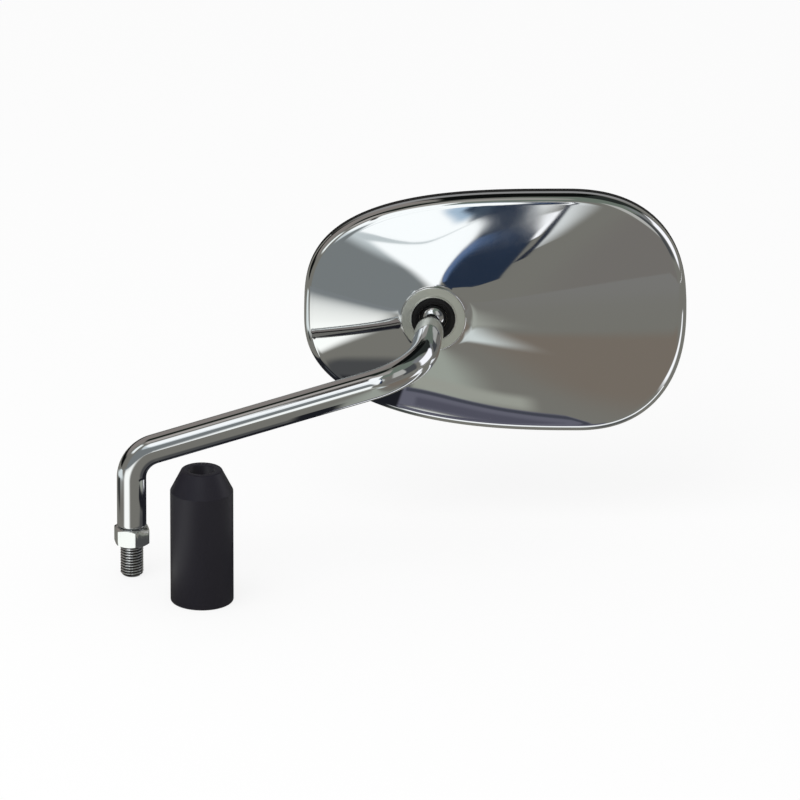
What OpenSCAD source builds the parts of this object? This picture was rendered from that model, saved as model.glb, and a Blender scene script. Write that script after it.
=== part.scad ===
// Left-hand motorcycle mirror: a bent steel stem with a ball end, a pressed shell with convex glass,
// a lock nut on the stud and a rubber boot that stands beside the stem.
// The origin is on the stud's axis, level with the seat of the lock nut. +X runs out along the arm,
// +Y is the side that the glass faces and +Z is up.

/* [Stem] */
// Diameter of the stem rod
rod_d = 12.8; // [11:0.1:13]
// Height of the lower corner above the nut's seat
post_h = 40.8; // [36:0.2:60]
// Length of the arm from corner to corner
arm_len = 131.1; // [110:0.1:180]
// Angle of the arm above level, in degrees
arm_rise = 17.35; // [5:0.05:30]
// Length of the leg from the upper corner to the centre of the ball
leg_len = 57.4; // [50:0.2:80]
// Turn of the leg towards the outer end of the head, in degrees
leg_yaw = 6; // [0:1:8]
// Angle of the leg above level, in degrees
leg_pitch = 4.2; // [0:0.1:6]
// Radius of the lower bend, on the rod's centre line
post_bend_r = 14; // [10:1:20]
// Radius of the upper bend, on the rod's centre line
leg_bend_r = 25; // [16:1:30]

/* [Stud and nut] */
// Diameter of the stud's thread
stud_d = 10; // [8:1:10]
// Length of thread below the nut's seat
stud_len = 14.5; // [10:0.5:30]
// Chamfer at the end of the stud
stud_chamfer = 1; // [0.5:0.1:1.5]
// Depth of the relief that the stud has under the rod
relief_depth = 0.2; // [0.16:0.02:0.4]
// Gap between the top of the nut and the shoulder of the rod
nut_gap = 0.3; // [0.2:0.1:2]
// Width of the nut across its flats
nut_af = 14; // [13:1:17]
// Height of the nut
nut_h = 8; // [5:0.5:10]
// Turn of the nut about the stud, in degrees
nut_turn = 42; // [0:1:59]

/* [Ball joint] */
// Diameter of the ball
ball_d = 14; // [13:0.5:15]
// Diameter of the neck under the ball
neck_d = 7.5; // [7:0.25:8]
// Distance from the centre of the ball to the full rod
shoulder_len = 15; // [14:0.5:18]
// Wall of the two nylon seats
seat_t = 1.95; // [1.5:0.05:2.5]
// Running clearance on the spheres of the ball joint, and on the stud
joint_clearance = 0.05; // [0.02:0.01:0.1]
// Distance of the rear seat's outer edge from the centre of the ball
rear_seat_out = 3.5; // [3.2:0.1:3.8]
// Distance of the rear seat's inner edge from the centre of the ball
rear_seat_in = 1.3; // [1.2:0.1:1.8]
// Distance of the front seat's edge from the centre of the ball
front_seat_in = 3.2; // [3.1:0.1:4]

/* [Head] */
// Lean of the head away from upright, in degrees
head_lean = 6; // [0:1:8]
// Reach of the shell from the hub towards the outer end
outer_reach = 110.6; // [95:0.1:125]
// Reach of the shell from the hub towards the inner end
inner_reach = 56.4; // [50:0.1:70]
// Reach of the shell upwards from the hub
upper_reach = 52.3; // [46:0.1:60]
// Reach of the shell downwards from the hub
lower_reach = 54.8; // [46:0.1:60]
// Distance from the hub out to the highest point of the outline
top_x = 57.6; // [30:0.1:70]
// Distance from the hub out to the lowest point of the outline
bottom_x = 62.4; // [30:0.1:70]
// Height above the hub of the outline's outermost point
outer_z = 0.8; // [-6:0.1:6]
// Height above the hub of the outline's innermost point
inner_z = -2.7; // [-6:0.1:6]
// Thickness of the pressed steel
shell_t = 1; // [0.8:0.1:1.4]
// Depth of the dome from the foot of the hub to the start of the rolled rim
dome_h = 12.2; // [10:0.1:14]
// Radius of the rolled rim
rim_r = 4.8; // [3:0.1:6]
// Depth of the straight skirt behind the rolled rim
skirt_h = 3; // [3:0.1:6]

/* [Hub] */
// Diameter of the raised hub ring
hub_d = 28.8; // [28:0.2:32]
// Diameter of the hole in the hub
hub_hole_d = 18.8; // [18.4:0.2:19.6]
// Distance of the hub's inner face from the centre of the ball
hub_in = 3.8; // [3.8:0.1:4.2]
// Height of the hub ring's flat face above its inner face
hub_ring_h = 1.9; // [1.7:0.1:3]
// Rounding of the hub ring's outer edge
hub_edge_r = 0.7; // [0.4:0.1:1.4]
// Radius of the rolled lip round the hole
hub_lip_r = 0.5; // [0.4:0.1:1]
// Radius of the dust collar's mouth at the ball
collar_mouth_r = 6.3; // [6.1:0.1:6.6]
// Height of the dust collar
collar_h = 2.4; // [2:0.1:3]

/* [Glass and gasket] */
// Thickness of the glass
glass_t = 2; // [1.6:0.1:2.4]
// Radius of curvature of the glass
glass_r = 1400; // [1200:50:2000]
// Depth of the gasket behind the skirt
gasket_h = 5; // [4.8:0.1:7]
// Width of the gasket's face
gasket_w = 5; // [4:0.5:7]
// Length of the gasket's foot inside the skirt
gasket_foot_h = 3; // [2:0.5:5]

/* [Clamp] */
// Diameter of the clamp screws
screw_d = 4; // [3:0.5:4]
// Radius of the circle that the clamp screws stand on
screw_ring_r = 17; // [16.5:0.5:19]
// Thickness of the socket bracket's lugs
lug_t = 2; // [1.6:0.1:2.5]
// Thickness of the pressure plate
plate_t = 1.6; // [1.2:0.1:2]

/* [Boot] */
// Diameter of the boot
boot_d = 27.4; // [25:0.2:32]
// Height of the boot
boot_h = 60.5; // [50:0.5:80]
// Height of the cone on top of the boot
boot_cone_h = 9.6; // [6:0.2:14]
// Diameter of the boot's top face
boot_top_d = 18.3; // [16:0.1:22]
// Diameter of the hole that grips the stem
boot_hole_d = 11.1; // [10:0.1:12.5]
// Diameter of the hollow that covers the nut
boot_hollow_d = 20.6; // [18:0.2:22]
// Length of the hole that grips the stem
boot_grip_h = 10.5; // [8:0.5:14]
// Place of the boot along X
boot_x = 30.8; // [26:0.1:60]
// Place of the boot along Y
boot_y = -30.2; // [-80:0.1:-28]

/* [Hidden] */
$fn = 96;

// Overrun of every cut past the face that it goes through
over = 1;

// Rod, stud and nut
rod_r = rod_d / 2;
stud_r = stud_d / 2;
relief_r = stud_r - relief_depth;
rod_foot_z = nut_h + nut_gap;
rod_foot_chamfer = 0.7;
// Loss of radius in the bends, and the length that each bend reaches into the straight rod
bend_thinning = 0.02;
bend_lap = 0.4;
nut_corner_r = nut_af / 2 / cos(30);
nut_face_share = 0.95;
nut_face_r = nut_af / 2 * nut_face_share;
nut_chamfer_h = (nut_corner_r - nut_face_r) * tan(30);
nut_bore_r = stud_r + joint_clearance;
nut_sink = 0.5;

function unit(v) = v / norm(v);
// Length of straight rod that a bend takes up on each side of its corner
function bend_reach(turn, r) = r * tan(turn / 2);

// Directions of the arm and the leg, and the turns between them
arm_dir = [cos(arm_rise), 0, sin(arm_rise)];
leg_dir = [sin(leg_yaw) * cos(leg_pitch), cos(leg_yaw) * cos(leg_pitch), sin(leg_pitch)];
ball_pos = [0, 0, post_h] + arm_len * arm_dir + leg_len * leg_dir;
post_turn = 90 - arm_rise;
leg_turn = acos(arm_dir * leg_dir);
post_reach = bend_reach(post_turn, post_bend_r);
leg_reach = bend_reach(leg_turn, leg_bend_r);
// The upper bend's plane, as a turn about the arm from the plane of the lower bend
leg_inward = leg_dir - (arm_dir * leg_dir) * arm_dir;
leg_roll = atan2(leg_inward[1], leg_inward * [sin(arm_rise), 0, -cos(arm_rise)]);

// Ball joint. Its spheres share the centre of the ball.
ball_r = ball_d / 2;
neck_r = neck_d / 2;
shoulder_r = rod_r - neck_r;
seat_in_r = ball_r + joint_clearance;
seat_out_r = seat_in_r + seat_t;
socket_r = seat_out_r + joint_clearance;
seat_hole_r = 2;

// Shell, measured along the axis of the hub from the centre of the ball
foot_step = 0.2;
dome_foot_y = -hub_in - shell_t - foot_step;
crease_y = dome_foot_y + dome_h;
// The rim rolls from this slope to upright
rim_start = 15;
crease_inset = rim_r * (1 - sin(rim_start));
rim_y = crease_y - rim_r * (1 - cos(rim_start));
skirt_y = rim_y + rim_r + skirt_h;
hub_r = hub_d / 2;
hub_hole_r = hub_hole_d / 2;
hub_face_y = -hub_in - hub_ring_h;
dome_start_share = 0.9;
dome_start_r = hub_r * dome_start_share;
// The dome is a shallow cone that steepens towards the rim
dome_steepening = 1.3;
dome_shares = [0, 0.15, 0.35, 0.6, 0.82, 1];
outer_rim_angles = [30, 45, 60, 75, 90];
inner_rim_angles = [50, 90];
// Fullness of the four quarters of the outline: 2 is an ellipse, more is squarer
outer_top_fullness = 2.38;
outer_low_fullness = 2.35;
inner_top_fullness = 2.96;
inner_low_fullness = 2.42;
outline_steps = 60;

// Dust collar
collar_gap = 0.05;
collar_r = hub_hole_r - collar_gap;
collar_flare = 1;
collar_round = 0.6;

// Glass and gasket
glass_x = (outer_reach - inner_reach) / 2;
glass_gap = 0.05;
glass_inset_share = 0.6;
glass_inset = gasket_w * glass_inset_share;
glass_front_y = skirt_y + gasket_h;
foot_gap = 0.1;
gasket_foot_t = 1.5;
glass_steps = 1440;

// Clamp
screw_count = 3;
screw_start = 90;
screw_r = screw_d / 2;
screw_fit = 0.05;
screw_play = 0.2;
lug_r = 5.5;
boss_r = 13;
lug_y = -1.4;
plate_y = front_seat_in;
plate_web_r = 14;
washer_t = 1;
washer_r = 3.6;
washer_cut = 0.9;
screw_head_y = plate_y + plate_t + washer_t;
screw_head_r = 3.5;
screw_head_h = 2.4;
screw_tail = 0.3;

// Boot
boot_r = boot_d / 2;
boot_edge = 0.8;
boot_roof_h = (boot_hollow_d - boot_hole_d) / 2;
boot_hollow_h = boot_h - boot_grip_h - boot_roof_h;

// Outline of the shell seen along the hub's axis, as [out, up] at angle t, drawn in by inset
function fullness(t) =
    cos(t) < 0 ? (sin(t) < 0 ? inner_low_fullness : inner_top_fullness)
               : (sin(t) < 0 ? outer_low_fullness : outer_top_fullness);
function middle_x(t) = sin(t) < 0 ? bottom_x : top_x;
function middle_z(t) = cos(t) < 0 ? inner_z : outer_z;
function reach_x(t) = cos(t) < 0 ? inner_reach + middle_x(t) : outer_reach - middle_x(t);
function reach_z(t) = sin(t) < 0 ? lower_reach + middle_z(t) : upper_reach - middle_z(t);
function outline_point(t, inset) = [
    middle_x(t) + sign(cos(t)) * (reach_x(t) - inset) * pow(abs(cos(t)), 2 / fullness(t)),
    middle_z(t) + sign(sin(t)) * (reach_z(t) - inset) * pow(abs(sin(t)), 2 / fullness(t))
];
function outline_angles() = [for (i = [0 : outline_steps - 1]) (i + 0.5) * 360 / outline_steps];

// One row of the pressing is [share of the way from hub to rim, inset at the rim, depth]
function dome_row(s, t) = [s, crease_inset, dome_foot_y + dome_h * pow(s, dome_steepening) + t];
function rim_row(q, t) = [1, rim_r - (rim_r - t) * sin(q), rim_y + rim_r - (rim_r - t) * cos(q)];
function reversed(list) = [for (i = [len(list) - 1 : -1 : 0]) list[i]];
function skin_rows(t, rim_angles) = concat(
    [for (s = dome_shares) dome_row(s, t)],
    [for (q = rim_angles) rim_row(q, t)],
    [[1, t, skirt_y]]
);
function row_point(row, t) =
    let (rim = outline_point(t, row[1]), hub = dome_start_r * unit(rim))
    let (p = hub + row[0] * (rim - hub))
    [p[0], row[2], p[1]];

// Straight rod along +Z, with children at its far end
module straight(len) {
    cylinder(h = len, r = rod_r);
    translate([0, 0, len])
        children();
}

// Rod that starts along +Z and turns towards +X, with children at its far end
module bent(turn, r) {
    lap = asin(bend_lap / r);
    translate([r, 0, 0])
        rotate([90, 0, 180])
            rotate([0, 0, -lap])
                rotate_extrude(angle = turn + 2 * lap)
                    translate([r, 0])
                        circle(rod_r - bend_thinning);
    translate([r * (1 - cos(turn)), 0, r * sin(turn)])
        rotate([0, turn, 0])
            children();
}

// Places children in the head: origin at the centre of the ball, +Y along the hub's axis to the glass
module in_head() {
    translate(ball_pos)
        rotate([-head_lean, 0, 0])
            children();
}

// As in_head, with +Z along the hub's axis to the glass
module on_hub_axis() {
    in_head()
        rotate([-90, 0, 0])
            children();
}

// Shoulder, neck and ball along +Z from the end of the full rod
module ball_end() {
    rotate_extrude()
        intersection() {
            union() {
                square([neck_r, shoulder_r]);
                translate([neck_r, 0])
                    circle(shoulder_r);
            }
            square([rod_r, shoulder_r]);
        }
    cylinder(h = shoulder_len, r = neck_r);
    translate([0, 0, shoulder_len])
        sphere(ball_r);
}

module stud() {
    translate([0, 0, -stud_len])
        cylinder(h = stud_chamfer, r1 = stud_r - stud_chamfer, r2 = stud_r);
    translate([0, 0, stud_chamfer - stud_len])
        cylinder(h = stud_len - stud_chamfer, r = stud_r);
    cylinder(h = rod_foot_z, r = relief_r);
    translate([0, 0, rod_foot_z])
        cylinder(h = rod_foot_chamfer, r1 = rod_r - rod_foot_chamfer, r2 = rod_r);
}

module stem() {
    foot_z = rod_foot_z + rod_foot_chamfer;
    color("silver") {
        stud();
        translate([0, 0, foot_z])
            straight(post_h - post_reach - foot_z)
                bent(post_turn, post_bend_r)
                    straight(arm_len - post_reach - leg_reach)
                        rotate([0, 0, leg_roll])
                            bent(leg_turn, leg_bend_r)
                                straight(leg_len - leg_reach - shoulder_len)
                                    ball_end();
    }
}

module lock_nut() {
    color("gainsboro")
        rotate([0, 0, nut_turn])
            difference() {
                intersection() {
                    cylinder(h = nut_h, r = nut_corner_r, $fn = 6);
                    union() {
                        cylinder(h = nut_chamfer_h, r1 = nut_face_r, r2 = nut_corner_r);
                        translate([0, 0, nut_chamfer_h])
                            cylinder(h = nut_h - 2 * nut_chamfer_h, r = nut_corner_r);
                        translate([0, 0, nut_h - nut_chamfer_h])
                            cylinder(h = nut_chamfer_h, r1 = nut_corner_r, r2 = nut_face_r);
                    }
                }
                translate([0, 0, -over])
                    cylinder(h = nut_h + 2 * over, r = nut_bore_r);
                for (z = [0, nut_h])
                    translate([0, 0, z])
                        rotate([z > 0 ? 180 : 0, 0, 0])
                            cylinder(h = nut_sink, r1 = nut_bore_r + nut_sink, r2 = nut_bore_r);
            }
}

module boot() {
    color([0.14, 0.14, 0.16])
        translate([boot_x, boot_y, -stud_len])
            difference() {
                union() {
                    cylinder(h = boot_edge, r1 = boot_r - boot_edge, r2 = boot_r);
                    translate([0, 0, boot_edge])
                        cylinder(h = boot_h - boot_cone_h - boot_edge, r = boot_r);
                    translate([0, 0, boot_h - boot_cone_h])
                        cylinder(h = boot_cone_h, r1 = boot_r, r2 = boot_top_d / 2);
                }
                translate([0, 0, -over])
                    cylinder(h = boot_hollow_h + over, r = boot_hollow_d / 2);
                translate([0, 0, boot_hollow_h])
                    cylinder(h = boot_roof_h, r1 = boot_hollow_d / 2, r2 = boot_hole_d / 2);
                translate([0, 0, boot_h - boot_grip_h])
                    cylinder(h = boot_grip_h + over, r = boot_hole_d / 2);
            }
}

// Slice of the nylon liner between two planes across the hub's axis
module seat_zone(low, high) {
    intersection() {
        difference() {
            sphere(seat_out_r);
            sphere(seat_in_r);
        }
        translate([0, 0, low])
            cylinder(h = high - low, r = seat_out_r + over);
    }
}

module front_seat() {
    color("ivory")
        on_hub_axis()
            difference() {
                seat_zone(front_seat_in, seat_out_r + over);
                cylinder(h = seat_out_r + over, r = seat_hole_r);
            }
}

module rear_seat() {
    color("ivory")
        on_hub_axis()
            seat_zone(-rear_seat_out, -rear_seat_in);
}

module hub_ring() {
    rotate([-90, 0, 0])
        rotate_extrude() {
            translate([hub_hole_r, hub_face_y])
                square([hub_r - hub_edge_r - hub_hole_r, hub_ring_h]);
            translate([hub_hole_r, hub_face_y + hub_edge_r])
                square([hub_r - hub_hole_r, hub_ring_h - hub_edge_r]);
            translate([hub_r - hub_edge_r, hub_face_y + hub_edge_r])
                circle(hub_edge_r);
            translate([hub_hole_r + hub_lip_r, hub_face_y])
                circle(hub_lip_r);
        }
}

// The pressing from the hub to the skirt, with the same number of points in every row
module pressing() {
    rows = concat(skin_rows(0, outer_rim_angles), reversed(skin_rows(shell_t, inner_rim_angles)));
    angles = outline_angles();
    n = len(angles);
    m = len(rows);
    points = [for (row = rows, t = angles) row_point(row, t)];
    faces = [for (i = [0 : m - 1], j = [0 : n - 1])
        let (i2 = (i + 1) % m, j2 = (j + 1) % n)
            each [[i * n + j, i * n + j2, i2 * n + j2], [i * n + j, i2 * n + j2, i2 * n + j]]];
    polyhedron(points, faces);
}

module shell() {
    color("silver")
        in_head() {
            hub_ring();
            pressing();
        }
}

module dust_collar() {
    color([0.1, 0.1, 0.1])
        on_hub_axis()
            rotate_extrude()
                polygon([
                    [collar_mouth_r, -hub_in],
                    [collar_r, -hub_in],
                    [collar_r, collar_round - hub_in - collar_h],
                    [collar_r - collar_round, -hub_in - collar_h],
                    [collar_mouth_r + collar_flare + collar_round, -hub_in - collar_h],
                    [collar_mouth_r + collar_flare, collar_round - hub_in - collar_h]
                ]);
}

// Copies children to the places of the clamp screws
module at_screws() {
    for (i = [0 : screw_count - 1])
        rotate([0, 0, screw_start + i * 360 / screw_count])
            translate([screw_ring_r, 0, 0])
                children();
}

module socket_bracket() {
    color("dimgray")
        on_hub_axis()
            difference() {
                union() {
                    translate([0, 0, -hub_in])
                        cylinder(h = lug_y + lug_t + hub_in, r = boss_r);
                    translate([0, 0, lug_y])
                        at_screws()
                            cylinder(h = lug_t, r = lug_r);
                }
                sphere(socket_r);
                translate([0, 0, lug_y - over])
                    at_screws()
                        cylinder(h = lug_t + 2 * over, r = screw_r + screw_fit);
            }
}

module pressure_plate() {
    color("slategray")
        on_hub_axis()
            difference() {
                union() {
                    intersection() {
                        sphere(socket_r + plate_t);
                        translate([0, 0, plate_y])
                            cylinder(h = socket_r + plate_t, r = socket_r + plate_t + over);
                    }
                    translate([0, 0, plate_y]) {
                        cylinder(h = plate_t, r = plate_web_r);
                        at_screws()
                            cylinder(h = plate_t, r = lug_r);
                    }
                }
                sphere(socket_r);
                translate([0, 0, plate_y - over])
                    at_screws()
                        cylinder(h = plate_t + 2 * over, r = screw_r + screw_play);
            }
}

module clamp_screws() {
    shank_y = lug_y - screw_tail;
    color("lightgray")
        on_hub_axis()
            at_screws() {
                translate([0, 0, shank_y])
                    cylinder(h = screw_head_y - shank_y, r = screw_r);
                translate([0, 0, screw_head_y])
                    cylinder(h = screw_head_h, r = screw_head_r);
            }
}

module spring_washers() {
    color("gray")
        on_hub_axis()
            translate([0, 0, plate_y + plate_t])
                at_screws()
                    difference() {
                        cylinder(h = washer_t, r = washer_r);
                        translate([0, 0, -over])
                            cylinder(h = washer_t + 2 * over, r = screw_r + screw_play);
                        translate([0, -washer_cut / 2, -over])
                            cube([washer_r + over, washer_cut, washer_t + 2 * over]);
                    }
}

// Prism of the outline, drawn in by inset, from depth y0 to depth y1
module outline_prism(inset, y0, y1) {
    rotate([-90, 0, 0])
        translate([0, 0, y0])
            linear_extrude(y1 - y0)
                polygon([for (t = outline_angles()) let (p = outline_point(t, inset)) [p[0], -p[1]]]);
}

// The curved pane, made larger on every side by gap
module pane(inset, gap) {
    crown_y = glass_front_y - foot_gap;
    intersection() {
        outline_prism(inset - gap, skirt_y - gasket_foot_h, glass_front_y + over);
        translate([glass_x, crown_y - glass_r, 0])
            rotate([-90, 0, 0])
                rotate_extrude()
                    intersection() {
                        difference() {
                            circle(glass_r + gap, $fn = glass_steps);
                            circle(glass_r - glass_t - gap, $fn = glass_steps);
                        }
                        translate([0, glass_r - gasket_h - gasket_foot_h])
                            square([outer_reach, gasket_h + gasket_foot_h + over]);
                    }
    }
}

module rim_gasket() {
    color([0.08, 0.08, 0.08])
        in_head() {
            difference() {
                outline_prism(0, skirt_y, glass_front_y);
                outline_prism(gasket_w, skirt_y - over, glass_front_y + over);
                pane(glass_inset, glass_gap);
            }
            difference() {
                outline_prism(shell_t + foot_gap, skirt_y - gasket_foot_h, skirt_y);
                outline_prism(shell_t + foot_gap + gasket_foot_t, skirt_y - gasket_foot_h - over, skirt_y + over);
            }
        }
}

module mirror_glass() {
    color("lightcyan")
        in_head()
            pane(glass_inset, 0);
}

stem();
lock_nut();
boot();
front_seat();
rear_seat();
shell();
dust_collar();
socket_bracket();
pressure_plate();
clamp_screws();
spring_washers();
rim_gasket();
mirror_glass();
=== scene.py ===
# %% [markdown]
# # A chrome motorcycle mirror, piece by piece
#
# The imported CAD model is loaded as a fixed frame. Each piece that is seen is then modelled again at the
# same size, finer than the CAD, and rides on the body that it belongs to. The last cells build the studio,
# because chrome has no colour of its own: what it shows is the room. The six pieces inside the head stay
# as they are in the CAD and only get a finish.

# %% The frame
import math

import bpy
from mathutils import Matrix, Vector


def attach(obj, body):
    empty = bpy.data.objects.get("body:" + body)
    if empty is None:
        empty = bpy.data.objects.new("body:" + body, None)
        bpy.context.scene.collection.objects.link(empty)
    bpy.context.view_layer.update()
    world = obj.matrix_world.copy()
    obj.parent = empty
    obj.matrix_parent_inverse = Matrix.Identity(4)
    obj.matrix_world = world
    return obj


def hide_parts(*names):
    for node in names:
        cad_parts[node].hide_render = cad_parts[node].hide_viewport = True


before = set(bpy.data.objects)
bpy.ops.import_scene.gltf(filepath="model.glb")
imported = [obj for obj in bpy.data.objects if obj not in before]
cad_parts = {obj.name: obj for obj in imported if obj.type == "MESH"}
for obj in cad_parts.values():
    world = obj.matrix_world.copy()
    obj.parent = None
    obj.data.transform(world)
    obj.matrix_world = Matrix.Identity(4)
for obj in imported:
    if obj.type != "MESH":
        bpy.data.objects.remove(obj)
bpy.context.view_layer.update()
print("nodes:", sorted(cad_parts))

# %% [markdown]
# ## Sizes
#
# Everything is drawn in millimetres and made metres at the end. The sizes are those of the CAD model, so
# the new pieces lie in the places of the solids that they stand for.

# %% Sizes of the stem
mm = 0.001
rod_r = 6.4
post_h = 40.8
arm_len = 131.1
arm_rise = math.radians(17.35)
leg_len = 57.4
leg_yaw = math.radians(6)
leg_pitch = math.radians(4.2)
post_bend_r = 14
leg_bend_r = 25
stud_r = 5
stud_len = 14.5
stud_chamfer = 1
relief_r = 4.8
rod_foot_z = 8.3
rod_foot_chamfer = 0.7
ball_r = 7
neck_r = 3.75
shoulder_len = 15

arm_dir = Vector((math.cos(arm_rise), 0, math.sin(arm_rise)))
leg_dir = Vector((
    math.sin(leg_yaw) * math.cos(leg_pitch),
    math.cos(leg_yaw) * math.cos(leg_pitch),
    math.sin(leg_pitch),
))
corner = Vector((0, 0, post_h))
elbow = corner + arm_len * arm_dir
ball = elbow + leg_len * leg_dir
print("ball centre", [round(v, 3) for v in ball])

# %% Sizes of the head
head_lean = math.radians(6)
outer_reach = 110.6
inner_reach = 56.4
upper_reach = 52.3
lower_reach = 54.8
top_x = 57.6
bottom_x = 62.4
outer_z = 0.8
inner_z = -2.7
shell_t = 1
dome_h = 12.2
rim_r = 4.8
rim_start = math.radians(15)
hub_r = 14.4
hub_hole_r = 9.4
hub_in_y = -3.8
hub_face_y = -5.7
hub_edge_r = 0.7
hub_lip_r = 0.5
dome_foot_y = -5.0
dome_start_r = 12.96
dome_steepening = 1.3
crease_y = dome_foot_y + dome_h
crease_inset = rim_r * (1 - math.sin(rim_start))
rim_y = crease_y - rim_r * (1 - math.cos(rim_start))
skirt_y = rim_y + rim_r + 3
gasket_y = skirt_y + 5
gasket_w = 5
glass_inset = 3
glass_r = 1400
glass_t = 2
glass_x = (outer_reach - inner_reach) / 2

# In the head, +Y runs along the axis of the hub to the glass. On the hub's axis, +Z does.
head = Matrix.Translation(ball) @ Matrix.Rotation(-head_lean, 4, "X")
hub_axis = head @ Matrix.Rotation(math.radians(-90), 4, "X")

# %% [markdown]
# ## Small tools
#
# Four helpers do the work of the hand: one clears the selection, one extrudes the selected loop and scales
# it, one spins a profile round the Z axis, and one bends the tube of a torus into any closed section. A
# torus has just the topology of a frame or a pressing with a hole, so nothing has to be stitched.

# %% Tools for modelling
def clear():
    if bpy.context.object and bpy.context.object.mode != "OBJECT":
        bpy.ops.object.mode_set(mode="OBJECT")
    bpy.ops.object.select_all(action="DESELECT")


def edit(piece):
    clear()
    piece.select_set(True)
    bpy.context.view_layer.objects.active = piece
    bpy.ops.object.mode_set(mode="EDIT")
    bpy.ops.mesh.select_mode(type="VERT")


def close_up(piece):
    edit(piece)
    bpy.ops.mesh.select_all(action="SELECT")
    bpy.ops.mesh.remove_doubles(threshold=0.0005)
    bpy.ops.mesh.normals_make_consistent(inside=False)
    clear()


def grow(move, scale, centre):
    """Extrudes the selected loop by move, then scales it about centre."""
    bpy.ops.mesh.extrude_region_move(TRANSFORM_OT_translate={"value": move})
    if scale != 1:
        bpy.ops.transform.resize(value=(scale, scale, scale), center_override=centre)


def arc(x, y, r, start, end, steps):
    """Points of an arc, in degrees, as (x, y)."""
    angles = [math.radians(start + (end - start) * i / steps) for i in range(steps + 1)]
    return [(x + r * math.cos(a), y + r * math.sin(a)) for a in angles]


def spun(name, profile, steps=128):
    """Spins a profile of (radius, height) points round the Z axis."""
    clear()
    bpy.ops.mesh.primitive_plane_add(size=1)
    piece = bpy.context.object
    piece.name = name
    edit(piece)
    bpy.ops.mesh.select_all(action="SELECT")
    bpy.ops.mesh.merge(type="CENTER")
    bpy.ops.transform.translate(value=(profile[0][0], 0, profile[0][1]))
    for (r0, z0), (r1, z1) in zip(profile, profile[1:]):
        bpy.ops.mesh.extrude_region_move(TRANSFORM_OT_translate={"value": (r1 - r0, 0, z1 - z0)})
    bpy.ops.mesh.select_all(action="SELECT")
    bpy.ops.mesh.spin(steps=steps, angle=math.tau, center=(0, 0, 0), axis=(0, 0, 1))
    close_up(piece)
    return piece


def ring(name, place, columns, rows):
    """A torus whose tube is moved to place(column, row), which gives a point."""
    clear()
    bpy.ops.mesh.primitive_torus_add(major_segments=columns, minor_segments=rows)
    piece = bpy.context.object
    piece.name = name
    for v in piece.data.vertices:
        v.co = place(v.index // rows, v.index % rows)
    close_up(piece)
    return piece


def finish_piece(piece, body, nodes, place=None, sharp=35):
    """Makes the mesh metres in the frame given by place, shades it, gives it its body and hides the CAD nodes
    that it stands for.
    """
    scale = Matrix.Scale(mm, 4)
    piece.data.transform(scale @ (place or Matrix.Identity(4)) @ piece.matrix_world)
    piece.matrix_world = Matrix.Identity(4)
    piece.data.name = piece.name
    clear()
    piece.select_set(True)
    bpy.context.view_layer.objects.active = piece
    bpy.ops.object.shade_smooth_by_angle(angle=math.radians(sharp))
    clear()
    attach(piece, body)
    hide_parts(*nodes)
    print(piece.name, len(piece.data.polygons), "faces")
    return piece

# %% [markdown]
# ## The stem
#
# One steel rod is bent twice. A circle is extruded up the post, spun round the centre of the first bend,
# extruded along the arm, spun again and extruded along the leg, just as the rod is fed through a bender.
# The neck and the ball are turned on its end, so they are more loops of the same tube. A curve with a
# bevel would be quicker, but its rings crowd inside a bend, and chrome shows that.

# %% The rod
def bend_centre(start, along, towards, radius):
    inward = (towards - along * towards.dot(along)).normalized()
    return start + inward * radius


clear()
bpy.ops.mesh.primitive_circle_add(
    vertices=96, radius=rod_r - rod_foot_chamfer, fill_type="NGON", location=(0, 0, rod_foot_z))
stem = bpy.context.object
stem.name = "chrome_stem"
stem.data.transform(stem.matrix_world)
stem.matrix_world = Matrix.Identity(4)
edit(stem)
bpy.ops.mesh.select_all(action="SELECT")
up = Vector((0, 0, 1))
at = Vector((0, 0, rod_foot_z + rod_foot_chamfer))
grow(up * rod_foot_chamfer, rod_r / (rod_r - rod_foot_chamfer), at)
for start, corner_at, along, towards, radius in (
        (at, corner, up, arm_dir, post_bend_r),
        (None, elbow, arm_dir, leg_dir, leg_bend_r)):
    turn = along.angle(towards)
    reach = radius * math.tan(turn / 2)
    begin = start or at
    bend_from = corner_at - along * reach
    straight_steps = 24
    for i in range(straight_steps):
        grow((bend_from - begin) / straight_steps, 1, begin)
    bpy.ops.mesh.spin(
        steps=48, angle=-turn, center=bend_centre(bend_from, along, towards, radius),
        axis=along.cross(towards).normalized())
    at = corner_at + towards * reach
leg_from = at

# %% The neck and the ball
shoulder_r = rod_r - neck_r
shoulder_at = ball - leg_dir * shoulder_len
loops = [(0, rod_r)]
loops += [(shoulder_r * math.sin(math.radians(a)), neck_r + shoulder_r * math.cos(math.radians(a)))
          for a in range(10, 91, 10)]
neck_in = math.degrees(math.asin(neck_r / ball_r))
loops += [(shoulder_len - ball_r * math.cos(math.radians(a)), ball_r * math.sin(math.radians(a)))
          for a in [neck_in + (178 - neck_in) * i / 48 for i in range(49)]]
here, radius = leg_from, rod_r
for along, r in loops:
    there = shoulder_at + leg_dir * along
    grow(there - here, r / radius, there)
    here, radius = there, r
clear()
print("rod and ball", len(stem.data.polygons), "faces")

# %% [markdown]
# The stud carries a fine thread, 1.25 mm to the turn. A screw modifier would leave it open at both ends, so
# a tall cylinder of many loops is made and each point is moved in or out by its place on the helix. The
# chamfer at the tip cuts the crests down, as a die leaves them.

# %% The thread
pitch = 1.25
thread_depth = 0.72
thread_top_z = 7.2
root_flat = 0.2
flank = 0.62
tip_gap = 0.15
relief_from_z = 0.5
loop_gap = pitch / 12


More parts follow.
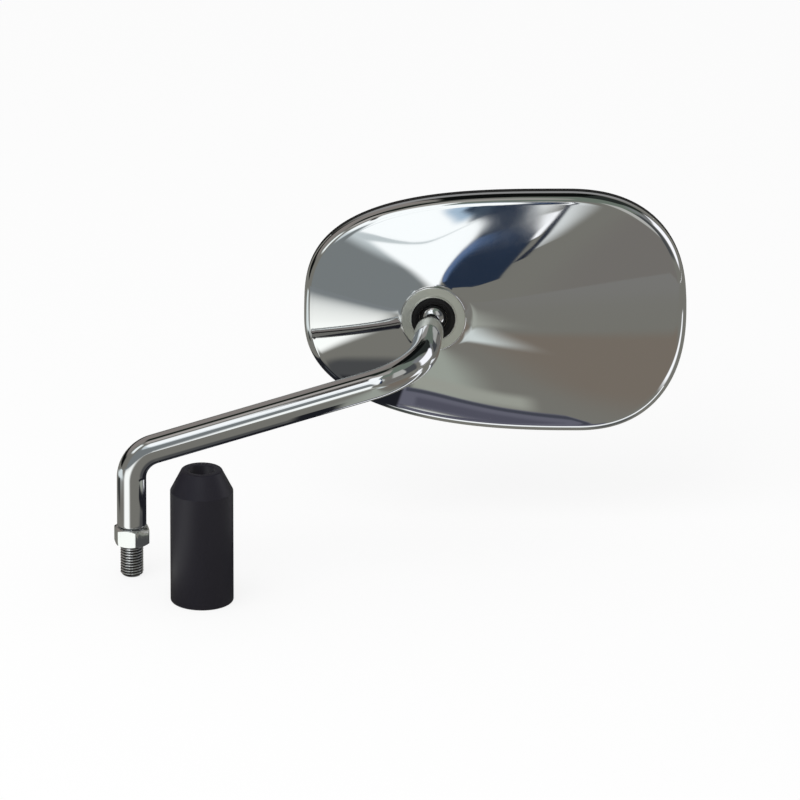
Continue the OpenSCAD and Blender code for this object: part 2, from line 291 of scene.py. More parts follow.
def thread_radius(angle, z):
    turn = (z / pitch - angle / math.tau) % 1
    crest = min(1, max(0, (abs(2 * turn - 1) - root_flat) / flank))
    fade = min(1, max(0, (thread_top_z - z) / pitch))
    r = stud_r - thread_depth * (1 - crest) * fade
    tip = stud_r - stud_chamfer + (z + stud_len) - tip_gap
    return min(r, tip, relief_r if z > relief_from_z else stud_r)


clear()
bpy.ops.mesh.primitive_circle_add(vertices=96, radius=stud_r, fill_type="NGON", location=(0, 0, -stud_len))
stud = bpy.context.object
stud.name = "thread"
stud.data.transform(stud.matrix_world)
stud.matrix_world = Matrix.Identity(4)
edit(stud)
bpy.ops.mesh.select_all(action="SELECT")
stud_top = rod_foot_z + 0.5
count = round((stud_top + stud_len) / loop_gap)
for i in range(count):
    grow(up * (stud_top + stud_len) / count, 1, up)
clear()
for v in stud.data.vertices:
    angle = math.atan2(v.co.y, v.co.x)
    r = thread_radius(angle, v.co.z)
    v.co.x, v.co.y = r * math.cos(angle), r * math.sin(angle)
close_up(stud)
close_up(stem)
stud.select_set(True)
stem.select_set(True)
bpy.context.view_layer.objects.active = stem
bpy.ops.object.join()
finish_piece(stem, "root", ["stem"], sharp=50)

# %% [markdown]
# ## The lock nut
#
# A nut is cut from hexagon bar, its corners are turned off at 30 degrees, which gives the arcs at the top
# and bottom of each flat, and it is drilled. Here a six-sided cylinder is intersected with a turned blank,
# which has the bore and both countersinks, and the edges get a small bevel.

# %% The nut
nut_h = 8
nut_af = 14
nut_turn = math.radians(42)
nut_bore_r = 5.05
nut_sink = 0.5
corner_r = nut_af / 2 / math.cos(math.radians(30))
face_r = nut_af / 2 * 0.95
blank_r = corner_r + 0.4
chamfer = (blank_r - face_r) * math.tan(math.radians(30))
blank = spun("nut_blank", [
    (nut_bore_r, nut_sink), (nut_bore_r + nut_sink, 0), (face_r, 0), (blank_r, chamfer),
    (blank_r, nut_h - chamfer), (face_r, nut_h), (nut_bore_r + nut_sink, nut_h),
    (nut_bore_r, nut_h - nut_sink), (nut_bore_r, nut_sink)], steps=144)
clear()
bpy.ops.mesh.primitive_cylinder_add(
    vertices=6, radius=corner_r, depth=nut_h + 2, location=(0, 0, nut_h / 2),
    rotation=(0, 0, math.radians(90)))
nut = bpy.context.object
nut.name = "hex_nut"
cut = nut.modifiers.new("blank", "BOOLEAN")
cut.operation = "INTERSECT"
cut.solver = "EXACT"
cut.object = blank
bpy.ops.object.modifier_apply(modifier="blank")
bpy.data.objects.remove(blank)
soften = nut.modifiers.new("edges", "BEVEL")
soften.width = 0.16
soften.segments = 3
soften.limit_method = "ANGLE"
soften.angle_limit = math.radians(28)
bpy.ops.object.modifier_apply(modifier="edges")
finish_piece(nut, "nut", ["lock_nut"], Matrix.Rotation(nut_turn, 4, "Z"))

# %% [markdown]
# ## The rubber boot
#
# The boot is moulded: a straight sleeve, a cone and a flat top with a hole that grips the rod. All of it is
# round, so one profile is spun. Moulded rubber has no sharp edge, so each corner of the profile is an arc.

# %% The boot
boot_place = Matrix.Translation((30.8, -30.2, -stud_len))
boot_r = 13.7
boot_h = 60.5
cone_h = 9.6
top_r = 9.15
hole_r = 5.55
hollow_r = 10.3
grip_h = 10.5
hollow_h = boot_h - grip_h - (hollow_r - hole_r)
lean = math.degrees(math.atan2(boot_r - top_r, cone_h))
profile = [(hollow_r + 0.5, 0)]
profile += arc(boot_r - 0.9, 0.9, 0.9, -90, 0, 6)
profile += arc(boot_r - 0.8, boot_h - cone_h - 0.2, 0.8, 0, lean, 4)
profile += arc(top_r - 0.75, boot_h - 0.7, 0.7, lean, 90, 6)
profile += arc(hole_r + 0.55, boot_h - 0.55, 0.55, 90, 180, 6)
profile += [(hole_r, hollow_h + hollow_r - hole_r), (hollow_r, hollow_h)]
profile += arc(hollow_r + 0.5, 0.5, 0.5, 180, 270, 5)
boot = spun("rubber_boot", profile)
finish_piece(boot, "root", ["boot"], boot_place, sharp=60)

# %% [markdown]
# ## The shell
#
# The head is one pressing. Its section runs over the rolled lip and the flat hub ring, down the dome, over
# the rolled rim and down the skirt, and back along the inner side of the sheet. The outline has four
# quarters of different fullness, so every point of the section is carried out to the outline along a ray
# from the hub. That is how the dome gets its cone-like facets of light that all start at the hub.

# %% The outline
def fullness(t):
    if math.cos(t) < 0:
        return 2.42 if math.sin(t) < 0 else 2.96
    return 2.35 if math.sin(t) < 0 else 2.38


def outline(t, inset):
    c, s = math.cos(t), math.sin(t)
    middle_x = bottom_x if s < 0 else top_x
    middle_z = inner_z if c < 0 else outer_z
    reach_x = inner_reach + middle_x if c < 0 else outer_reach - middle_x
    reach_z = lower_reach + middle_z if s < 0 else upper_reach - middle_z
    x = middle_x + math.copysign((reach_x - inset) * abs(c) ** (2 / fullness(t)), c)
    z = middle_z + math.copysign((reach_z - inset) * abs(s) ** (2 / fullness(t)), s)
    return Vector((x, 0, z))


columns = 240
turns = [(i + 0.5) * math.tau / columns for i in range(columns)]
print("head", round(inner_reach + outer_reach, 1), "by", round(upper_reach + lower_reach, 1), "mm")

# %% The section of the pressing
# A row is ("hub", radius, depth), or ("dome", share of the way out, inset at the rim, depth).
def dome_depth(share):
    return dome_foot_y + dome_h * share ** dome_steepening


section = [("hub", hub_hole_r, hub_in_y), ("hub", hub_hole_r, hub_face_y + 0.6)]
section += [("hub", r, y) for r, y in arc(hub_hole_r + hub_lip_r, hub_face_y, hub_lip_r, 180, 360, 12)]
section += [("hub", 11.6, hub_face_y), ("hub", 12.6, hub_face_y)]
section += [("hub", r, y) for r, y in arc(hub_r - hub_edge_r, hub_face_y + hub_edge_r, hub_edge_r, -90, -8, 8)]
section += [("hub", hub_r + 0.02, -4.93), ("hub", hub_r + 0.2, -4.86)]
shares = [0.05 + 0.95 * i / 48 for i in range(49)]
section += [("dome", s, crease_inset, dome_depth(s)) for s in shares[:-1]]
for q in range(15, 91, 5):
    a = math.radians(q)
    section.append(("dome", 1, rim_r * (1 - math.sin(a)), rim_y + rim_r * (1 - math.cos(a))))
section += [("dome", 1, 0, y) for y in (skirt_y - 2.3, skirt_y - 1.3, skirt_y - 0.3)]
section += [("dome", 1, 0.3, skirt_y), ("dome", 1, shell_t, skirt_y)]
inner_r = rim_r - shell_t
for q in range(90, 15, -15):
    a = math.radians(q)
    section.append(("dome", 1, rim_r - inner_r * math.sin(a), rim_y + rim_r - inner_r * math.cos(a)))
section += [("dome", s, crease_inset, dome_depth(s) + shell_t) for s in reversed(shares[::4])]
section += [("hub", 13.2, hub_in_y)]
print("section of the pressing:", len(section), "rows")


def shell_point(column, row):
    kind, *numbers = section[row]
    t = turns[column]
    if kind == "hub":
        ray = outline(t, crease_inset).normalized()
        return ray * numbers[0] + Vector((0, numbers[1], 0))
    share, inset, depth = numbers
    rim = outline(t, inset)
    start = rim.normalized() * dome_start_r
    return start.lerp(rim, share) + Vector((0, depth, 0))


shell = ring("chrome_shell", shell_point, columns, len(section))
finish_piece(shell, "head", ["shell"], head, sharp=40)

# %% [markdown]
# ## The dust collar, the gasket and the glass
#
# The collar is a lip seal, so its profile is spun with a few fine ribs. The gasket follows the outline, so
# it is a torus again, with a groove for the glass. The glass is a slice of a large sphere: a small sphere
# has the right topology, so its rings are moved to the front, the edge and the back of the pane.

# %% The dust collar
collar_r = 9.35
mouth_r = 6.3
collar_foot = -3.8
lip_r = 6.05
collar_profile = [(lip_r, collar_foot), (collar_r, collar_foot)]
collar_profile += arc(collar_r - 0.6, -5.5, 0.6, 0, -90, 5)
collar_profile += arc(mouth_r + 1.7, -5.9, 0.3, -60, -150, 4)
collar_profile += [(mouth_r + 1.1, -5.3), (mouth_r + 0.95, -5.0), (mouth_r + 0.4, -4.6), (lip_r + 0.05, -4.15)]
collar_profile += [(lip_r, collar_foot)]
collar = spun("dust_seal", collar_profile)
finish_piece(collar, "head", ["dust_collar"], hub_axis, sharp=50)

# %% The rim gasket
def glass_depth(x, z):
    out = (x - glass_x) ** 2 + z * z
    return gasket_y - 0.1 - glass_r + math.sqrt(glass_r ** 2 - out)


groove = 0.05
seat = glass_inset - groove
gasket_section = [(0.02, skirt_y + 0.02, "y")]
gasket_section += [(0.5 - x, y, "y") for x, y in arc(0, gasket_y - 0.5, 0.5, 0, 90, 6)]
gasket_section += [(4.3 + x, y, "y") for x, y in arc(0, gasket_y - 0.7, 0.7, 90, 0, 5)]
gasket_section += [(gasket_w, groove, "glass"), (seat, groove, "glass")]
gasket_section += [(seat, -glass_t - groove, "glass"), (gasket_w, -glass_t - groove, "glass")]
gasket_section += [(gasket_w, skirt_y, "y"), (2.6, skirt_y, "y"), (2.6, skirt_y - 3, "y")]
gasket_section += [(1.1, skirt_y - 3, "y"), (1.1, skirt_y, "y")]


def gasket_point(column, row):
    inset, depth, kind = gasket_section[row]
    p = outline(turns[column], inset)
    p.y = depth + glass_depth(p.x, p.z) if kind == "glass" else depth
    return p


gasket = ring("rim_seal", gasket_point, columns, len(gasket_section))
finish_piece(gasket, "head", ["rim_gasket"], head, sharp=50)

# %% The glass
clear()
pane_rings = 32
bpy.ops.mesh.primitive_uv_sphere_add(segments=columns, ring_count=pane_rings)
pane = bpy.context.object
pane.name = "mirror_pane"
half = (pane_rings - 2) // 2
pane_chamfer = 0.25
for v in pane.data.vertices:
    polar = math.acos(max(-1, min(1, v.co.z)))
    level = round(polar / math.pi * pane_rings)
    front = level <= pane_rings / 2
    share = min(1, (level if front else pane_rings - level) / half)
    t = math.atan2(v.co.y, v.co.x)
    rim = outline(t if abs(math.sin(2 * t)) > 1e-6 else t + 1e-4, glass_inset)
    p = Vector((glass_x, 0, 0)).lerp(rim, share)
    edge = pane_chamfer if share == 1 and level != pane_rings / 2 else 0
    p.y = glass_depth(p.x, p.z) - (edge if front else glass_t - edge)
    if level == pane_rings / 2:
        p.y = glass_depth(p.x, p.z) - glass_t / 2
    v.co = p
close_up(pane)
finish_piece(pane, "head", ["mirror_glass"], head, sharp=30)

# %% [markdown]
# ## Finishes
#
# Node sums are written as Python expressions: Signal wraps a socket, and adding or multiplying two signals
# adds the Math node. Recipe makes every other node, with its settings first and its inputs after them. A
# finish could also be wired by hand in the shader editor, but a recipe can be read, changed and used again.

# %% Tools for finishes
class Signal:
    def __init__(self, tree, socket):
        self.tree = tree
        self.socket = socket

    def do(self, operation, *values):
        """A Math node on the values."""
        node = self.tree.nodes.new("ShaderNodeMath")
        node.operation = operation
        for socket, value in zip(node.inputs, values):
            link(self.tree, socket, value)
        return Signal(self.tree, node.outputs[0])

    def __add__(self, other):
        return self.do("ADD", self, other)

    def __sub__(self, other):
        return self.do("SUBTRACT", self, other)

    def __rsub__(self, other):
        return self.do("SUBTRACT", other, self)

    def __mul__(self, other):
        return self.do("MULTIPLY", self, other)

    def __truediv__(self, other):
        return self.do("DIVIDE", self, other)

    def root(self):
        return self.do("SQRT", self)

    def turn(self, other):
        """The angle from other to self, in degrees, as of a point that lies self across and other ahead."""
        return self.do("ARCTAN2", self, other) * math.degrees(1)

    __radd__ = __add__
    __rmul__ = __mul__


def link(tree, socket, value):
    if isinstance(value, Signal):
        tree.links.new(value.socket, socket)
    else:
        socket.default_value = value


class Recipe:
    """A node tree that is filled by calls to node."""
    def __init__(self, owner):
        owner.use_nodes = True
        self.owner = owner
        self.tree = owner.node_tree
        self.tree.nodes.clear()

    def node(self, kind, settings, inputs, output=0):
        made = self.tree.nodes.new("ShaderNode" + kind)
        for name, value in settings.items():
            setattr(made, name, value)
        for name, value in inputs.items():
            link(self.tree, made.inputs[name], value)
        return Signal(self.tree, made.outputs[output])

    def step(self, value, edge, soft):
        """0 below the edge and 1 above it, with a soft change."""
        return self.node("MapRange", {"interpolation_type": "SMOOTHSTEP"}, {
            "Value": value, "From Min": edge - soft, "From Max": edge + soft})

    def band(self, value, low, high, soft, soft_high=None):
        """1 between low and high, with soft edges."""
        return self.step(value, low, soft) * (1 - self.step(value, high, soft_high or soft))

    def bent(self, value, points):
        """A smooth line through points of (height, side), both in degrees."""
        made = self.tree.nodes.new("ShaderNodeFloatCurve")
        line = made.mapping.curves[0]
        spots = [((height + 90) / 180, side / 400 + 0.5) for height, side in sorted(points)]
        for spot in spots[1:-1]:
            line.points.new(*spot)
        line.points[0].location, line.points[-1].location = spots[0], spots[-1]
        for point in line.points:
            point.handle_type = "AUTO_CLAMPED"
        made.mapping.update()
        link(self.tree, made.inputs["Value"], value / 180 + 0.5)
        return (Signal(self.tree, made.outputs[0]) - 0.5) * 400

    def tint(self, factor, first, second):
        """The first colour where factor is 0 and the second where it is 1."""
        return self.node("Mix", {"data_type": "RGBA"}, {0: factor, 6: first, 7: second}, output=2)

    def place(self):
        """The point of the surface, in the object's own coordinates."""
        return self.node("TexCoord", {}, {}, output="Object")

    def numbers(self, vector):
        """The x, y and z of a vector."""
        made = self.tree.nodes.new("ShaderNodeSeparateXYZ")
        link(self.tree, made.inputs[0], vector)
        return [Signal(self.tree, out) for out in made.outputs]

    def seen(self):
        """1 for rays from the camera, from a reflection or through glass, and 0 for the rest."""
        made = self.tree.nodes.new("ShaderNodeLightPath")
        camera, glossy, through = (
            Signal(self.tree, made.outputs[ray])
            for ray in ("Is Camera Ray", "Is Glossy Ray", "Is Transmission Ray"))
        return camera + glossy + through

    def noise(self, scale, detail=3.0):
        return self.node(
            "TexNoise", {}, {"Vector": self.place(), "Scale": scale, "Detail": detail}, output="Fac")

    def surface(self, shader):
        end = "OutputWorld" if isinstance(self.owner, bpy.types.World) else "OutputMaterial"
        made = self.tree.nodes.new("ShaderNode" + end)
        self.tree.links.new(shader.socket, made.inputs["Surface"])


def shade(red, green, blue):
    """A colour as seen on screen, 0 to 255, as the linear colour that Blender works in."""
    linear = [v / 12.92 / 255 if v < 11 else ((v / 255 + 0.055) / 1.055) ** 2.4 for v in (red, green, blue)]
    return (*linear, 1)


def dress(piece, material):
    piece.data.materials.clear()
    piece.data.materials.append(material)

# %% [markdown]
# Chrome is a metal with a neutral, slightly blue colour and hardly any roughness. A perfect mirror looks
# drawn, so the polish varies a little, and a very faint wave in the sheet bends the reflections as in a
# real pressing. Two places differ: the flat ring round the ball is satin, and the roots of the thread are
# darkened, which is painted shade together with the dust and oil that stay there. Each gets a mask from its
# place on the piece, which follows the shape at any size.

# %% Chrome
satin_rough = 0.34
satin_colour = (0.80, 0.81, 0.75, 1)
# The dark of the thread roots: painted shade, together with the dust and oil that stay there
dirt_and_shade_colour = (0.05, 0.05, 0.05, 1)


def chrome(name, colour, rough, rough_change, wave, wave_scale, satin=None, dirt_and_shade=None):
    material = bpy.data.materials.new(name)
    mix = Recipe(material)
    polish = mix.noise(90.0)
    sheet = mix.noise(wave_scale, 2.0)
    bump = mix.node("Bump", {}, {"Strength": 1.0, "Distance": wave, "Height": sheet}, output="Normal")
    roughness = polish * rough_change + rough
    # The roots of the thread are darkened: painted shade, with the dust and oil that stay there
    if dirt_and_shade:
        colour = mix.tint(dirt_and_shade(mix), colour, dirt_and_shade_colour)
    if satin:
        mask = satin(mix)
        roughness = roughness * (1 - mask) + mask * satin_rough
        colour = mix.tint(mask, colour, satin_colour)
    mix.surface(mix.node("BsdfPrincipled", {}, {
        "Base Color": colour, "Metallic": 1.0, "Roughness": roughness, "Normal": bump}))
    return material


def hub_ring(mix):
    """1 on the flat ring round the ball, which is satin, and 0 on the polished dome."""
    from_ball = mix.node(
        "VectorMath", {"operation": "SUBTRACT"}, {0: mix.place(), 1: ball * mm}, output="Vector")
    axis = head.to_3x3() @ Vector((0, 1, 0))
    along = mix.node("VectorMath", {"operation": "DOT_PRODUCT"}, {0: from_ball, 1: axis}, output="Value")
    length = mix.node("VectorMath", {"operation": "LENGTH"}, {0: from_ball}, output="Value")
    out = (length * length - along * along).root()
    return mix.band(out, 0.0096, 0.0139, 0.00025) * (1 - mix.step(along, -0.0050, 0.0002))


def thread_roots(mix):
    """1 at the bottom of the thread, which is darkened as painted shade together with the oil and dust that
    stay there, and 0 on its crests and on the rod.
    """
    x, y, z = mix.numbers(mix.place())
    out = (x * x + y * y).root()
    return (1 - mix.step(out, 0.00452, 0.00014)) * (1 - mix.step(z, thread_top_z * mm, 0.0002))


shell_chrome = chrome("shell_chrome", (0.83, 0.84, 0.85, 1), 0.02, 0.03, 0.00003, 28.0, satin=hub_ring)
# The rod's thread roots get painted shade, with their dust and oil
rod_chrome = chrome("rod_chrome", (0.80, 0.81, 0.83, 1), 0.03, 0.04, 0.00001, 60.0, dirt_and_shade=thread_roots)
nut_chrome = chrome("nut_chrome", (0.82, 0.84, 0.84, 1), 0.12, 0.10, 0.00001, 150.0)
dress(shell, shell_chrome)
dress(stem, rod_chrome)
dress(nut, nut_chrome)
print("chromed:", [piece.name for piece in (shell, stem, nut)])

# %% [markdown]
# The boot and the seals are moulded black rubber. It is never quite black: a thin bloom lies on it in soft
# patches, and its skin has a grain finer than a tenth of a millimetre. So a slow noise lightens the colour
# and dulls it, and a fast noise gives the bump.

# %% Rubber
bloom = 1.35


def rubber(name, colour, rough, grain):
    material = bpy.data.materials.new(name)
    mix = Recipe(material)
    skin = mix.noise(1800.0)
    patch = mix.noise(45.0)
    bump = mix.node("Bump", {}, {"Strength": 0.35, "Distance": grain, "Height": skin}, output="Normal")
    dusty = tuple(c * bloom for c in colour[:3]) + (1,)
    mix.surface(mix.node("BsdfPrincipled", {}, {
        "Base Color": mix.tint(patch, colour, dusty), "Roughness": patch * 0.12 + rough, "Normal": bump,
        "Specular IOR Level": 0.4}))
    return material


dress(boot, rubber("boot_rubber", shade(24, 22, 32), 0.40, 0.00006))
seal = rubber("seal_rubber", shade(12, 12, 13), 0.55, 0.00005)
dress(collar, seal)
dress(gasket, seal)
print("rubber:", [piece.name for piece in (boot, collar, gasket)])

# %% [markdown]
# The glass is silvered on its back. Seen from the front it is a mirror with a slight grey, so one metal
# does for glass and silver together. Inside the head the ball runs in nylon seats, which are cloudy ivory,
# and the stamped parts are zinc-plated, which shows as a faint spangle.

# %% Glass, nylon and plated steel
silver = bpy.data.materials.new("silvered_glass")
mix = Recipe(silver)
film = mix.noise(20.0)
mix.surface(mix.node("BsdfPrincipled", {}, {
    "Base Color": (0.84, 0.86, 0.87, 1), "Metallic": 1.0, "Roughness": film * 0.02 + 0.01}))
dress(pane, silver)

nylon = bpy.data.materials.new("nylon")
mix = Recipe(nylon)
cloud = mix.noise(220.0)
mix.surface(mix.node("BsdfPrincipled", {}, {
    "Base Color": mix.tint(cloud, shade(225, 220, 205), shade(205, 198, 180)),
    "Roughness": cloud * 0.1 + 0.45}))

zinc = bpy.data.materials.new("zinc_plate")
mix = Recipe(zinc)
spangle = mix.noise(400.0)
mix.surface(mix.node("BsdfPrincipled", {}, {
    "Base Color": mix.tint(spangle, shade(150, 152, 155), shade(185, 186, 182)), "Metallic": 0.9,
    "Roughness": spangle * 0.2 + 0.28}))
for name in ("front_seat", "rear_seat"):
    dress(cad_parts[name], nylon)
for name in ("socket_bracket", "pressure_plate", "clamp_screws", "spring_washers"):
    dress(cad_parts[name], zinc)
print("finishes:", [m.name for m in bpy.data.materials if m.users])

# %% [markdown]
# ## The studio
#
# The floor and the room are white and the light is plain and soft. A white room alone would make the chrome
# a white shape, so a photographer hangs grey and black cards round it, outside the picture. Two cards do it
# here: a tent round the object and a sheet on the floor. Only the reflections see them, and the floor keeps
# the object's shadow.

# %% Floor and world
floor_z = -stud_len * mm
clear()
bpy.ops.mesh.primitive_plane_add(size=8, location=(0, 0, floor_z))
floor = bpy.context.object
floor.name = "floor"
white = bpy.data.materials.new("white_floor")
mix = Recipe(white)
paint = mix.node("BsdfDiffuse", {}, {"Color": (0.93, 0.93, 0.93, 1)})
glow = mix.node("Emission", {}, {"Color": (1, 1, 1, 1), "Strength": 1.0})
mix.surface(mix.node("MixShader", {}, {0: mix.seen() * 0.82, 1: paint, 2: glow}))
dress(floor, white)

world = bpy.data.worlds.new("room")
bpy.context.scene.world = world
mix = Recipe(world)
mix.surface(mix.node("Background", {}, {"Color": (1, 1, 1, 1), "Strength": mix.seen() * 0.25 + 0.75}))
print("floor at", round(floor_z, 4), "m")

# %% [markdown]
# The tent is a large sphere of grey paper round the ball joint, with strips of other paper hung in it. A
# strip is told by its edges, as angles round and above the ball, so its place in the room is fixed and no
# camera comes into it. Separate planes would do too, but strips on one sphere can be bent and can have soft
# edges. They are set by measure to give the wedges of light that this one picture shows.

# %% The tent
def card_only(card):
    """A card that only reflections see."""
    card.visible_camera = False
    card.visible_diffuse = False
    card.visible_transmission = False
    card.visible_shadow = False


tent_r = 1.6
card_light = 1.19  # makes up for what chrome takes away
clear()
bpy.ops.mesh.primitive_uv_sphere_add(segments=96, ring_count=48, radius=tent_r, location=ball * mm)
tent = bpy.context.object
tent.name = "tent"
card_only(tent)
paper = bpy.data.materials.new("tent_paper")
mix = Recipe(paper)
ray = mix.node("VectorMath", {"operation": "NORMALIZE"}, {0: mix.place()}, output="Vector")
ray_x, ray_y, ray_z = mix.numbers(ray)
# Turn from -Y towards +X, and height above level, in degrees
side = ray_x.turn(ray_y * -1)
height = ray_z.do("ARCSINE", ray_z) * math.degrees(1)
look = shade(114, 113, 107)

# %% The strips in the tent
strips = [
    # colour, rows of (height, left side, right side), softness of the left and right edge
    (shade(128, 122, 118), [(10, -172, -104), (62, -172, -104)], 6, 6),
    (shade(115, 120, 121), [(-10, -60, -6), (34, -60, -6)], 6, 6),
    (shade(104, 113, 104), [(45, -10, 118), (90, -10, 118)], 3, 3),
    (shade(26, 32, 28), [(52, -127, -92), (62, -132, -97), (70, -137, -74), (83, -158, -52)], 4, 4),
    (shade(165, 160, 156), [(52, -88, -62), (68, -92, -60)], 4, 4),
    (shade(38, 42, 40), [(28, 118, 164), (56, 112, 168), (66, 93, 172), (82, 92, 176)], 4, 4),
    (shade(12, 14, 13), [(20, 166, 182), (60, 160, 182), (84, 140, 182)], 2, 2),
    (shade(12, 14, 13), [(20, -182, -172), (60, -182, -164), (86, -182, -132)], 2, 2),
    (shade(12, 13, 13), [(-20, -166, -98), (13, -166, -98)], 4, 4),
    (shade(134, 134, 134), [(-20, -182, -168), (16, -182, -168)], 1, 4),
    (shade(134, 134, 134), [(-20, 165, 182), (16, 165, 182)], 4, 1),
    (shade(240, 245, 243), [(24, -88, -70), (46, -88, -70)], 3, 3),
    (shade(250, 250, 254), [(2, 88, 106), (10, 84, 126), (36, 84, 128)], 3, 3),
    (shade(118, 120, 122), [(38, 76, 104), (58, 76, 104)], 3, 3),
    (shade(70, 72, 74), [(8, 46, 74), (46, 46, 74)], 3, 3),
    (shade(172, 172, 168), [(20, 26, 51), (30, 24, 50), (52, 22, 44)], 3, 2),
    (shade(111, 108, 104), [(-10, 16, 46), (18, 16, 46)], 3, 3),
    (shade(198, 206, 208), [(29, -46, -12), (33, -50, -12), (44, -56, -12)], 3.5, 5),
    (shade(250, 253, 253), [(12, -3, 3), (18, -5.5, 3), (21, -8, 3), (24, -11, 3), (27, -15, 3), (30, -21, 3),
                            (33, -29, 3), (36, -36, 3), (41, -48, 1), (45, -50, -8), (60, -44, -9),
                            (76, -42, -12)], 5, 1),
    (shade(150, 147, 142), [(62, -60, 10), (80, -60, 10)], 3, 3),
    (shade(188, 196, 198), [(31, -31, -28), (34, -27, -22), (36.5, -17, -13), (37.4, -10, -5),
                            (38, -3, 0)], 1, 1),
    (shade(64, 60, 58), [(48, -36, -31), (53, -43, -37), (59, -54, -44)], 1.5, 1.5),
    (shade(250, 253, 250), [(-8, -11, -4), (4, -12, -5), (10, -13, -6)], 1.6, 1.6),
    (shade(160, 182, 202), [(39.5, -3, 1), (41, -4.5, 1), (43.5, -7.5, 0)], 1, 0.4),
    (shade(34, 45, 62), [(9, 7, 9.4), (11, 6.3, 9), (15, 4.7, 8.2), (20, 3.2, 7), (24, 2.8, 6), (28, 2.5, 4.7),
                         (32, 2, 3.5), (35, 1.3, 2.8), (37.5, 0.2, 2.2), (40, -1.8, 1.2),
                         (42, -4, 0.4)], 0.35, 0.2),
    (shade(84, 106, 142), [(17, 3.9, 5), (22, 2.9, 4.4), (27, 2.5, 3.6), (31, 2.2, 3), (33, 2, 2.3)], 0.4, 0.5),
    (shade(58, 70, 84), [(38.5, -1.2, -0.2), (41.5, -2.4, -0.6)], 0.4, 0.4),
    (shade(215, 219, 219), [(20, 8, 8.6), (25, 7.4, 9.2), (30, 5.8, 8.2), (37, 3.4, 5)], 0.4, 3),
    (shade(252, 253, 255), [(27, 5, 5.7), (31, 3.9, 4.8), (34.5, 3.2, 3.8)], 0.2, 0.2),
    (shade(30, 36, 50), [(17, 7.9, 9), (24, 6.9, 7.7), (30, 5.1, 5.9), (36, 3.4, 4)], 0.2, 0.2),
]
for colour, rows, soft_left, soft_right in strips:
    left = mix.bent(height, [(h, start) for h, start, end in rows])
    right = mix.bent(height, [(h, end) for h, start, end in rows])
    heights = sorted(h for h, start, end in rows)
    wide = mix.band(side, left, right, soft_left, soft_right)
    tall = mix.band(height, heights[0], heights[-1], soft_left)
    look = mix.tint(wide * tall, look, colour)
mix.surface(mix.node("Emission", {}, {"Color": look, "Strength": card_light}))
dress(tent, paper)
print("strips in the tent:", len(strips))

# %% [markdown]
# The underside of the stem and the lower half of the head look at the floor, so grey and dark papers lie
# there as well, on one sheet just above the floor. A fan of white paper in front of the post gives it its
# broad white line.

# %% The sheet on the floor
clear()
bpy.ops.mesh.primitive_plane_add(size=3.1, location=(0, 0, floor_z + 0.4 * mm))
sheet = bpy.context.object
sheet.name = "floor_card"
card_only(sheet)
paper = bpy.data.materials.new("floor_paper")
mix = Recipe(paper)
card_x, card_y = mix.numbers(mix.place())[:2]
look = shade(114, 113, 107)

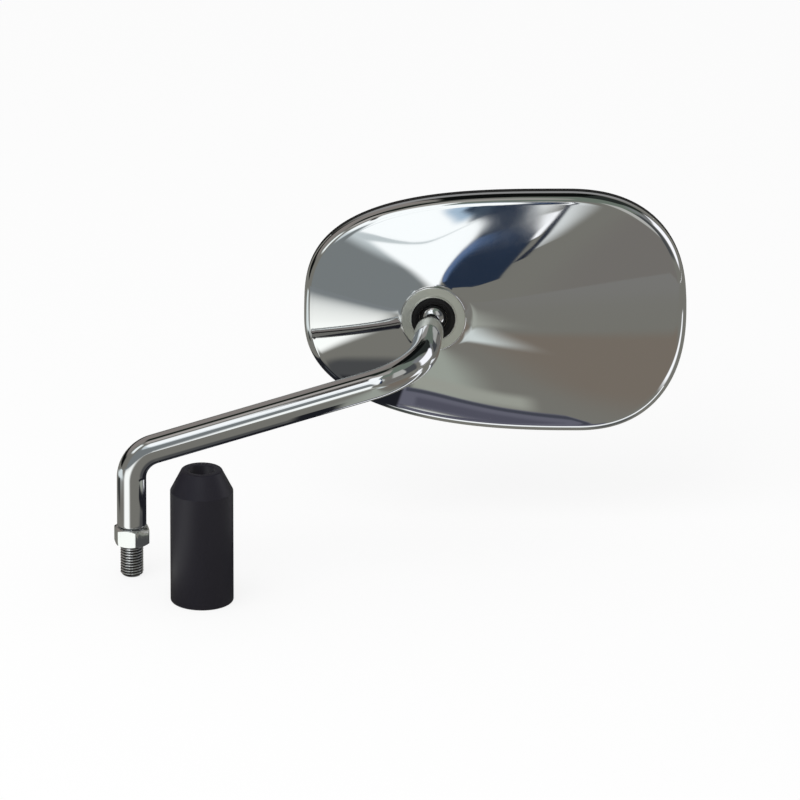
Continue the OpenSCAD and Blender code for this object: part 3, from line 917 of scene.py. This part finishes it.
# %% The papers on the sheet
patches = [
    # colour, x from, x to, y from, y to, softness, in metres
    (shade(214, 222, 222), -0.7, -0.14, -0.06, 0.14, 0.05),
    (shade(250, 253, 250), -0.40, 0.045, -1.6, -0.80, 0.16),
    (shade(158, 161, 153), 0.04, 0.255, -1.2, -0.44, 0.05),
    (shade(117, 116, 113), 0.40, 1.4, -2.0, -0.6, 0.25),
    (shade(118, 123, 125), -2.0, -0.2, -2.0, -0.3, 0.15),
    (shade(150, 155, 146), 0.108, 0.15, -0.32, 0.02, 0.015),
    (shade(114, 106, 97), 0.19, 0.44, -0.36, -0.03, 0.05),
    (shade(200, 207, 205), 0.160, 0.224, -0.43, -0.22, 0.032),
    (shade(150, 152, 143), 0.098, 0.175, -0.006, 0.01, 0.006),
    (shade(250, 251, 253), 0.30, 0.62, -0.055, 0.03, 0.02),
    (shade(245, 247, 248), 0.09, 0.30, 0.0285, 0.046, 0.0015),
    (shade(64, 68, 66), 0.085, 0.116, 0.05, 0.10, 0.008),
    (shade(78, 80, 80), 0.205, 0.24, 0.045, 0.075, 0.01),
    (shade(70, 71, 72), 0.016, 0.086, -0.034, 0.012, 0.013),
    (shade(30, 31, 36), -0.002, 0.098, 0.002, 0.170, 0.004),
    (shade(28, 29, 34), 0.084, 0.106, -0.056, 0.040, 0.004),
    (shade(66, 69, 73), 0.022, 0.046, 0.028, 0.048, 0.003),
    (shade(96, 96, 108), 0.102, 0.215, 0.0105, 0.0275, 0.0012),
    (shade(64, 66, 76), 0.104, 0.215, 0.0112, 0.0145, 0.0010),
    (shade(80, 80, 92), 0.112, 0.19, 0.0185, 0.026, 0.002),
    (shade(52, 54, 53), -0.15, -0.08, 0.014, 0.075, 0.012),
]
for colour, x_from, x_to, y_from, y_to, soft in patches:
    patch = mix.band(card_x, x_from, x_to, soft) * mix.band(card_y, y_from, y_to, soft)
    look = mix.tint(patch, look, colour)
# A white fan starts at the foot of the post and widens towards the left front
away = (card_x * card_x + card_y * card_y).root()
turn = card_x.turn(card_y * -1)
fan = mix.band(turn, -58, -15, 9) * mix.band(away, 0.012, 0.62, 0.004, 0.42)
look = mix.tint(fan, look, shade(252, 254, 250))
mix.surface(mix.node("Emission", {}, {"Color": look, "Strength": card_light}))
dress(sheet, paper)
print("papers on the sheet:", len(patches))

# %% [markdown]
# The picture shows no boot in the chrome, although it stands beside the stem. So reflections don't see it
# here. It could also be hidden behind a card, but a card that close to the object would be seen in turn.

# %% The boot in the chrome
boot.visible_glossy = False
print("hidden from reflections:", boot.name)

# %% [markdown]
# One large, weak lamp from the upper left gives the soft shadow and the sheen on the rubber. The camera
# stands far off with a long lens, because the picture shows hardly any perspective, and looks down by the
# angle at which the rings of the boot appear as ellipses of the right height.

# %% Lamp and camera
clear()
bpy.ops.object.light_add(type="AREA", location=(-0.4, -0.7, 1.3))
lamp = bpy.context.object
lamp.data.size = 1.2
lamp.data.energy = 9
lamp.visible_glossy = False
aim = Vector((0.1, 0.0, 0.03)) - lamp.location
lamp.rotation_euler = aim.to_track_quat("-Z", "Y").to_euler()

view_height = math.radians(21)
view_range = 8
frame_width = 0.3478
target = Vector((0.1166, 0.020, 0.0589))
bpy.ops.object.camera_add(
    location=target + view_range * Vector((0, -math.cos(view_height), math.sin(view_height))),
    rotation=(math.radians(90) - view_height, 0, 0))
camera = bpy.context.object
camera.data.sensor_width = 36
camera.data.lens = 36 * view_range / frame_width
camera.data.clip_end = 50
bpy.context.scene.camera = camera
bpy.context.scene.view_settings.view_transform = "Standard"
print("lens", round(camera.data.lens), "mm")
